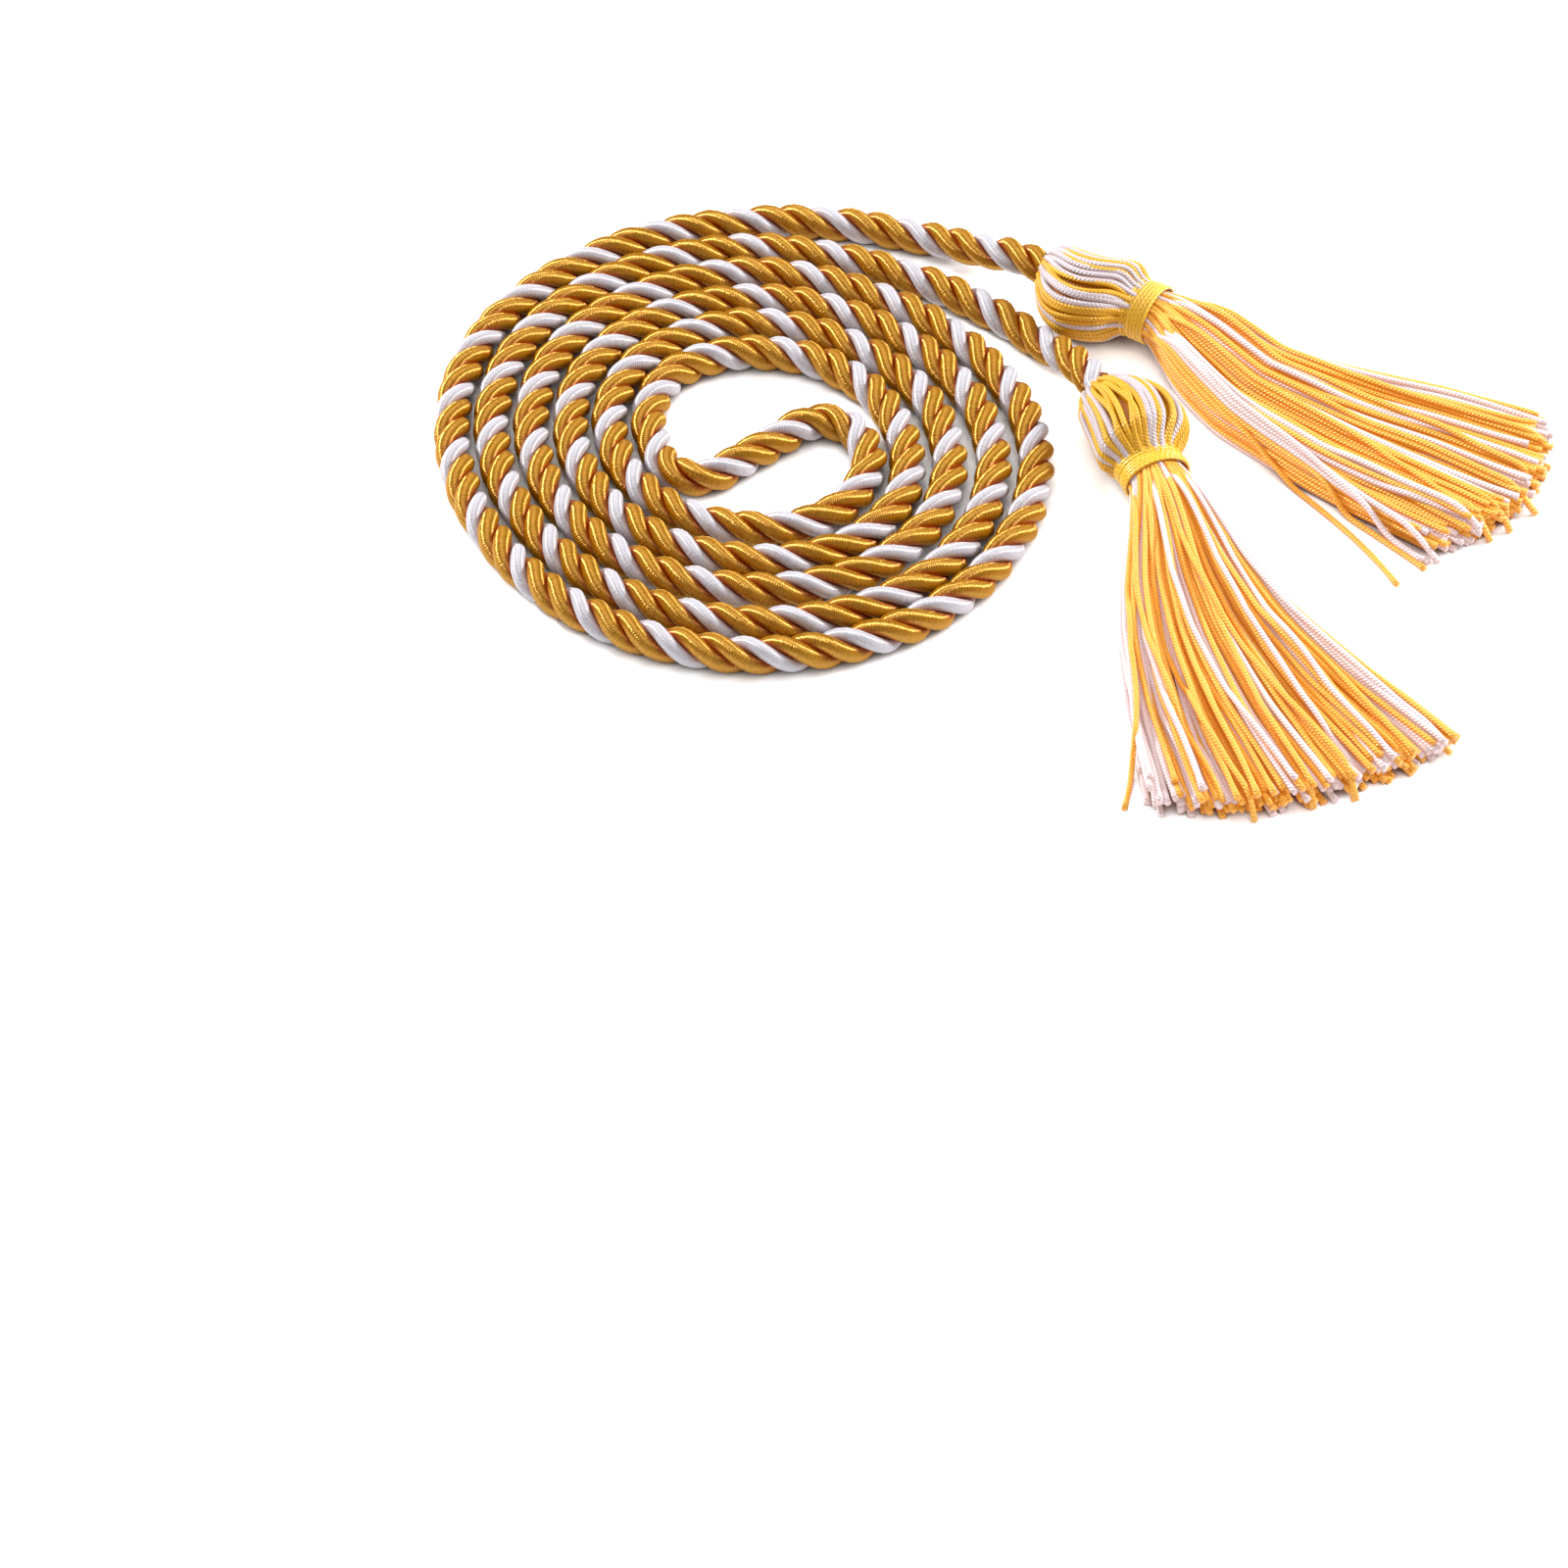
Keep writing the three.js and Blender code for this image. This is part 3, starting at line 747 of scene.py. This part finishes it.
skirtSettings = {
    "cords": 160,
    "stations": 58,         # places along each cord
    "depth": 0.0036,        # of the pile of cords at its cut ends
    "sink": [  # along the skirt, how far the pile's top and underside are still raised
        (0, 1, 1), (0.08, 1, 0.45), (0.19, 0.75, 0.05), (0.34, 0.45, 0), (0.6, 0.16, 0), (1, 0, 0),
    ],
    "insetFrom": 0.2,       # where along the skirt the tassel's inset begins
    "clumps": 15,
    "gather": 0.25,         # how far cords gather in clumps at the middle of the skirt
    "gatherPace": 1.1,
    "swap": 0.022,          # shares of the width that a cord strays from its place at the end
    "wave": 0.012, "pace": (5, 11),     # how far each sways to the sides, and how fast
    "freed": 0.1,           # the fan opens over this share of the length
    "follow": 0.6,          # how closely a cord follows the fan from station to station
    "packed": 0.7,          # room for a cord at the neck, in cord widths
    "loosened": 0.27,       # and how much more it gets by this far along the skirt
    "loosenedBy": 0.22,
    "pushes": 14, "push": 0.35, "edgePull": 0.6,
    "neckEnd": 0.04, "opening": (0.05, 0.5),    # where and how the neck's bundle lets go
    "underWrap": 0.4,       # share of the wrap's width that the cords run in under it
    "uneven": 0.026,        # how much shorter a cord may be than the skirt
    "short": (0.04, 0.3),   # some are shorter still: by how much, and how many
    "misplaced": 0.004,     # how far a cord's colour may stray from its band
    "thickness": (1.0, 1.16),
    "pressed": 0.8, "pressedTo": 0.12,      # cords are thinner at the neck, up to here
    "fray": [(0.95, 1.2), (0.8, 1.5)],      # the cut end's last two rings
    "strayRoom": 1.9,       # from a loose cord to those under it, in cord radii
    "strayNeck": 0.9,       # how near the outside of the neck it starts
    "strayRise": 0.12,      # share of the length over which it climbs on the others
}


def packSkirt(tassel, random):
    # lays the cords of a skirt station by station: each sinks and spreads with the fan,
    # and those that overlap push each other apart above the floor
    s, k = tasselSettings, skirtSettings
    radius = s["cordRadius"]
    stations = k["stations"]
    count = k["cords"]
    order = np.arange(count)
    ring = (s["neckRadius"] - radius) * np.sqrt((order + 0.5) / count)
    angle = order * math.pi * (3 - math.sqrt(5))
    y = ring * np.cos(angle)
    z = tassel["neckAxis"] + ring * np.sin(angle) * tassel["neckFlat"]
    neckHalf = s["neckRadius"] * tassel["neckFlat"]
    rank = np.empty(count)
    rank[np.argsort(y)] = (np.arange(count) + 0.5) / count

    clumps = np.sort(random.uniform(0, 1, k["clumps"]))
    clump = clumps[np.abs(rank[:, None] - clumps[None, :]).argmin(1)]
    endRank = np.clip(rank + random.normal(0, k["swap"], count), 0, 1)
    wave = random.uniform(0, 2 * math.pi, count)
    pace = random.uniform(*k["pace"], count)
    startY = y.copy()
    sink = k["sink"]
    track = np.zeros((stations, count, 2))
    lastHeight = None
    for station in range(stations):
        t = station / (stations - 1)
        right, left = skirtEdges(tassel, t)
        right, left = right + radius, left - radius
        insetSoFar = max(0.0, (t - k["insetFrom"]) / (1 - k["insetFrom"]))
        right += (left - right) * tassel["inset"] * insetSoFar
        height = tassel["neckAxis"] + neckHalf - k["depth"]
        top = k["depth"] + height * np.interp(t, column(sink, 0), column(sink, 1))
        bottom = (tassel["neckAxis"] - neckHalf) * np.interp(t, column(sink, 0), column(sink, 2))
        gather = k["gather"] * math.sin(math.pi * min(1.0, t * k["gatherPace"])) ** 2
        lateral = rank * (1 - t) + endRank * t
        lateral = lateral + (clump - lateral) * gather
        lateral = lateral + k["wave"] * np.sin(wave + pace * t) * math.sqrt(t)
        aim = right + (left - right) * lateral
        aim = startY + (aim - startY) * smoothStep(t / k["freed"])
        y = y + (aim - y) * (1.0 if station == 0 else k["follow"])
        if lastHeight is not None:
            raised = (z - lastHeight[1] - radius) * (top - bottom)
            z = bottom + radius + raised / (lastHeight[0] - lastHeight[1])
        lastHeight = (top, bottom)
        apart = 2 * radius * (k["packed"] + k["loosened"] * min(1.0, t / k["loosenedBy"]))
        opened = max(0.0, t - k["neckEnd"])
        reach = s["neckRadius"] - radius + k["opening"][0] * opened + k["opening"][1] * opened ** 2
        for _ in range(k["pushes"]):
            dy = y[:, None] - y[None, :]
            dz = z[:, None] - z[None, :]
            gap = np.sqrt(dy * dy + dz * dz) + 1e-9
            push = np.clip(apart - gap, 0, None) * k["push"]
            np.fill_diagonal(push, 0)
            y = y + np.sum(push * dy / gap, 1)
            z = z + np.sum(push * dz / gap, 1)
            y = y + (np.clip(y, right, left) - y) * k["edgePull"]
            above = z - tassel["neckAxis"]
            tight = np.minimum(1, reach / np.hypot(y, above / tassel["neckFlat"]))
            y = y * tight
            z = np.maximum(tassel["neckAxis"] + above * tight, radius)
        track[station] = np.stack([y, z], 1)
    soften(track, 3)
    track[:, :, 1] = np.maximum(track[:, :, 1], radius)
    return track, rank


def skirtEdges(tassel, along):
    # right and left edges of the fan
    s = tasselSettings
    spread = tassel["spread"]
    left = np.interp(along, column(spread, 0), column(spread, 1)) * s["skirtSpread"]
    right = np.interp(along, column(spread, 0), column(spread, 2)) * s["skirtSpread"]
    return right, left


def strayPath(tassel, course, length, x, share, paths):
    # a loose cord lies over the others, as high as what is under it
    s, k = tasselSettings, skirtSettings
    radius = s["cordRadius"]
    lateral = np.polyval(np.polyfit([0, 1 / 3, 2 / 3, 1], course, 3), share)
    right, left = skirtEdges(tassel, share * length)
    y = right + (left - right) * lateral
    z = np.full(len(share), radius)
    for path, _ in paths:
        otherY = np.interp(x, path[:, 0], path[:, 1], right=9.0)     # far off, past its end
        otherZ = np.interp(x, path[:, 0], path[:, 2])
        over = (k["strayRoom"] * radius) ** 2 - (y - otherY) ** 2
        z = np.maximum(z, np.where(over > 0, otherZ + np.sqrt(np.maximum(over, 0)), 0))
    neck = s["neckRadius"] - radius
    side = np.sqrt(np.maximum(neck ** 2 - y ** 2, 0)) * tassel["neckFlat"] * k["strayNeck"]
    side = tassel["neckAxis"] + side
    z = side + (z - side) * smoothStep((share - k["neckEnd"]) / k["strayRise"])
    return np.stack([x, y, soften(z, 4)], 1)


def makeSkirt(tassel, place):
    s, k = tasselSettings, skirtSettings
    radius = s["cordRadius"]
    random = np.random.default_rng(tassel["seed"] + 1)
    stations = k["stations"]
    track, rank = packSkirt(tassel, random)
    share = np.linspace(0, 1, stations)
    wrapWidth = s["wrapTurns"] * s["wrapThread"]
    start = s["headLength"] + k["underWrap"] * wrapWidth
    reach = s["skirtLength"] + (1 - k["underWrap"]) * wrapWidth
    colours = tassel["colours"]
    paths = []
    for cord in range(track.shape[1]):
        at = int((rank[cord] + random.normal(0, k["misplaced"])) * len(colours))
        letter = colours[min(at, len(colours) - 1)]
        across = 2 * rank[cord] - 1
        shorter = tassel["shorter"][int(across > 0)] * across ** 2
        length = 1 - shorter - random.uniform(0, k["uneven"])
        length -= k["short"][0] * random.random() * (random.random() < k["short"][1])
        x = start + share * reach * length
        paths.append((np.stack([x, track[:, cord, 0], track[:, cord, 1]], 1), letter))
    for course, length, letter in tassel["strays"]:
        x = start + share * reach * length
        paths.append((strayPath(tassel, course, length, x, share, paths), letter))

    parts = MeshParts()
    pressed = k["pressed"] + (1 - k["pressed"]) * smoothStep(share / k["pressedTo"])
    for number, (path, letter) in enumerate(paths):
        centres = place.toWorld(path)
        outward = np.tile([[0.0, 0.0, 1.0]], (stations, 1))
        thick = radius * random.uniform(*k["thickness"]) * pressed
        around = np.tile(thick[:, None], (1, s["cordSides"]))
        for ring, (least, most) in zip((-2, -1), k["fray"]):
            around[ring] *= random.uniform(least, most, s["cordSides"])
        parts.addTube(centres, outward, around, s["cordSides"], int(letter == "w"), number)
        parts.restOnFloor()
    piece = parts.build(tassel["name"] + "TasselSkirt", [goldKnit, whiteKnit])
    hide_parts(tassel["name"] + "_tassel")
    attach(piece, "root")
    print(piece.name, "made:", len(piece.data.polygons), "faces")


wrapSettings = {
    "steps": 44,            # round each turn
    "sides": 8,
    "clearance": 0.0003,    # from the neck to the wound thread
    "uneven": 0.00008,      # how far one turn stands off the next
    "evening": 20,          # steps to each side that this is evened out over
}


def makeWrap(tassel, place):
    s, w = tasselSettings, wrapSettings
    random = np.random.default_rng(tassel["seed"] + 2)
    steps = w["steps"]
    parts = MeshParts()
    thread = s["wrapThread"] / 2
    turns = s["wrapTurns"]
    count = turns * steps
    share = np.arange(count + 1) / steps
    ease = np.repeat(random.normal(0, w["uneven"], turns + 1), steps)[: count + 1]
    window = 2 * w["evening"] + 1
    ease = np.convolve(np.pad(ease, w["evening"], mode="edge"), np.ones(window) / window, mode="valid")
    angle = 2 * math.pi * share
    ring = s["neckRadius"] + w["clearance"] + thread + ease
    x = s["headLength"] + thread + share / turns * (turns * s["wrapThread"] - 2 * thread)
    out = np.stack([np.zeros(count + 1), np.cos(angle), np.sin(angle)], 1)
    height = ring * out[:, 2] * tassel["neckFlat"] + tassel["neckAxis"]
    centres = np.stack([x, ring * out[:, 1], height], 1)
    parts.addTube(place.toWorld(centres), place.turn(out), thread, w["sides"], 0)
    piece = parts.build(tassel["name"] + "NeckWrap", [wrapKnit])
    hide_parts(tassel["name"] + "_neck_wrap")
    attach(piece, "root")
    print(piece.name, "made:", len(piece.data.polygons), "faces")


for tassel, tail in ((firstTassel, "firstTail"), (secondTassel, "secondTail")):
    ends = [ropePoint(*row) for row in routeSettings[tail][:2]]
    place = TasselFrame(*ends)
    makeHead(tassel, place)
    makeSkirt(tassel, place)
    makeWrap(tassel, place)


# Floor and light
stageSettings = {
    "floorSize": 6.0,
    "floorColour": (0.8, 0.8, 0.81, 1),
    # painted shade: the dark brown that the floor turns to near things, where its glow also goes out
    "gapShadeColour": (0.2, 0.12, 0.06, 1),
    "floorGlow": 0.5,
    "gapReach": 0.005,         # painted shade darkens the floor where something is closer than this
    "gapOpening": (0.12, 0.48),     # how open it is there, from fully shaded to clear
    "gapSamples": 8,
    "worldColour": (1.0, 1.0, 1.0, 1),
    "worldStrength": 0.4,
    "aim": (0.03, -0.01, 0.0),
    "lights": [  # name, direction, distance, size, power
        ("broadLight", (0.85, 0.22, 0.47), 1.1, 0.35, 14.5),
        ("crispLight", (-0.77, 0.48, 0.41), 1.1, 0.1, 15.0),
        ("topLight", (-0.1, 0.1, 1.0), 1.3, 1.0, 9.8),
    ],
}


def makeStage(settings):
    mesh = bpy.data.meshes.new("floor")
    half = settings["floorSize"] / 2
    corners = [(-half, -half, 0), (half, -half, 0), (half, half, 0), (-half, half, 0)]
    mesh.from_pydata(corners, [], [(0, 1, 2, 3)])
    floor = bpy.data.objects.new("floor", mesh)
    bpy.context.collection.objects.link(floor)
    material, tree, shader = newMaterial("paleFloor")
    # painted shade: where ambient occlusion finds something near, the floor turns to the gap shade
    # colour and its glow goes out
    shade = addNode(tree, "ShaderNodeAmbientOcclusion", samples=settings["gapSamples"])
    shade.inputs["Distance"].default_value = settings["gapReach"]
    opening = addNode(tree, "ShaderNodeMapRange", interpolation_type="SMOOTHSTEP")
    opening.inputs["From Min"].default_value = settings["gapOpening"][0]
    opening.inputs["From Max"].default_value = settings["gapOpening"][1]
    tree.links.new(shade.outputs["AO"], opening.inputs["Value"])
    clear = opening.outputs[0]
    glow = mixColour(tree, clear, (0.0, 0.0, 0.0, 1), (1.0, 1.0, 1.0, 1))
    tree.links.new(glow, shader.inputs["Emission Color"])
    colour = mixColour(tree, clear, settings["gapShadeColour"], settings["floorColour"])
    tree.links.new(colour, shader.inputs["Base Color"])
    shader.inputs["Emission Strength"].default_value = settings["floorGlow"]
    shader.inputs["Roughness"].default_value = 0.9
    shader.inputs["Specular IOR Level"].default_value = 0.1
    mesh.materials.append(material)

    world = bpy.data.worlds.new("studio")
    world.use_nodes = True
    background = world.node_tree.nodes["Background"]
    background.inputs["Color"].default_value = settings["worldColour"]
    background.inputs["Strength"].default_value = settings["worldStrength"]
    bpy.context.scene.world = world

    aim = Vector(settings["aim"])
    for name, direction, distance, size, power in settings["lights"]:
        spot = aim + Vector(direction).normalized() * distance
        data = bpy.data.lights.new(name, "AREA")
        data.shape = "DISK"
        data.size = size
        data.energy = power
        lamp = bpy.data.objects.new(name, data)
        lamp.location = spot
        lamp.rotation_euler = (aim - spot).to_track_quat("-Z", "Y").to_euler()
        bpy.context.collection.objects.link(lamp)
    bpy.context.scene.view_settings.view_transform = "Standard"


makeStage(stageSettings)
print("stage lit")
